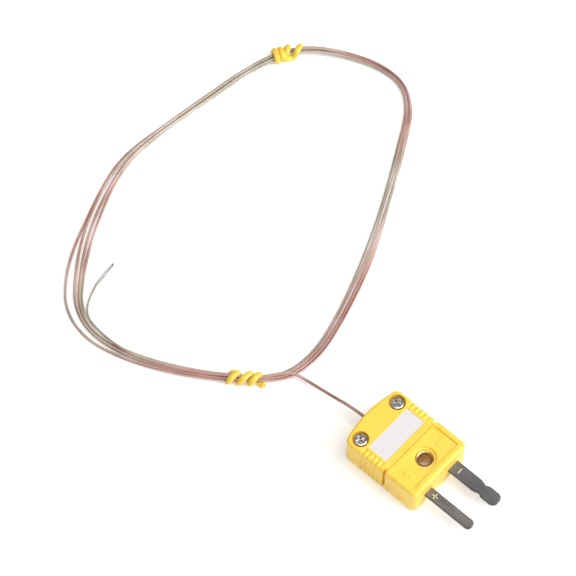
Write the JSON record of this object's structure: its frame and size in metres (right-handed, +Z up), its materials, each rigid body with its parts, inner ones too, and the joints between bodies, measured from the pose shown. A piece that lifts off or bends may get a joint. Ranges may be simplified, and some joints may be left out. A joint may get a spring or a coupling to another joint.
{
  "type": "thermocouple",
  "caption": "Fine-wire thermocouple with a miniature flat-pin plug, a thin duplex lead wound in a loose tied coil, and a bare welded junction.",
  "frame": {"origin": "bottom centre of the plug's bounding box, on the surface that the plug lies on", "axes": "+X out along the blades, +Y to the wide negative blade's side, +Z up through the cover"},
  "size_m": [0.118, 0.0971, 0.0079],
  "materials": {
    "yellow_plastic": "satin moulded yellow",
    "label_card": "matt off-white",
    "positive_alloy": "dull rolled alloy, slightly warm",
    "negative_alloy": "dull rolled alloy",
    "brass": "turned",
    "plated_steel": "bright nickel plate",
    "grommet_rubber": "matt brown",
    "lead_jacket": "clear film over two tinted legs",
    "thermocouple_wire": "drawn wire",
    "tie_coating": "soft yellow coating"
  },
  "bodies": {
    "plug": {"base_shell": "yellow_plastic", "positive_blade": "positive_alloy", "negative_blade": "negative_alloy", "brass_bushing": "brass", "threaded_inserts": "brass", "cable_grommet": "grommet_rubber", "positive_leg_end": "lead_jacket", "negative_leg_end": "lead_jacket", "positive_conductor_end": "thermocouple_wire", "negative_conductor_end": "thermocouple_wire", "cord_lead": "lead_jacket", "cord_coil": "lead_jacket", "cord_tail": "lead_jacket", "positive_tip_wire": "thermocouple_wire", "negative_tip_wire": "thermocouple_wire", "junction_bead": "thermocouple_wire", "upper_tie": "tie_coating", "lower_tie": "tie_coating"},
    "cover": {"cover_shell": "yellow_plastic", "write_on_label": "label_card"},
    "left_screw": {"left_cover_screw": "plated_steel"},
    "right_screw": {"right_cover_screw": "plated_steel"},
    "positive_clamp": {"positive_clamp_washer": "plated_steel"},
    "negative_clamp": {"negative_clamp_washer": "plated_steel"},
    "positive_terminal": {"positive_terminal_screw": "plated_steel"},
    "negative_terminal": {"negative_terminal_screw": "plated_steel"}
  },
  "joints": [
    {"name": "cover_lift", "type": "slide", "parent": "plug", "child": "cover", "axis": [0, 0, 1], "range_m": [0, 0.012]},
    {"name": "left_screw_turn", "type": "hinge", "parent": "cover", "child": "left_screw", "pos_m": [-0.01325, -0.0058, 0.00685], "axis": [0, 0, 1], "continuous": true},
    {"name": "right_screw_turn", "type": "hinge", "parent": "cover", "child": "right_screw", "pos_m": [-0.01325, 0.0058, 0.00685], "axis": [0, 0, 1], "continuous": true},
    {"name": "positive_clamp_lift", "type": "slide", "parent": "plug", "child": "positive_clamp", "axis": [0, 0, 1], "range_m": [0, 0.0004]},
    {"name": "negative_clamp_lift", "type": "slide", "parent": "plug", "child": "negative_clamp", "axis": [0, 0, 1], "range_m": [0, 0.0004]},
    {"name": "positive_terminal_turn", "type": "hinge", "parent": "positive_clamp", "child": "positive_terminal", "pos_m": [-0.0076, -0.00395, 0.00497], "axis": [0, 0, 1], "range_deg": [0, 360]},
    {"name": "negative_terminal_turn", "type": "hinge", "parent": "negative_clamp", "child": "negative_terminal", "pos_m": [-0.0076, 0.00395, 0.00497], "axis": [0, 0, 1], "range_deg": [0, 360]}
  ],
  "couplings": [
    {"joint": "positive_terminal_turn", "follows": "positive_clamp_lift", "rad_per_m": 15700},
    {"joint": "negative_terminal_turn", "follows": "negative_clamp_lift", "rad_per_m": 15700}
  ]
}
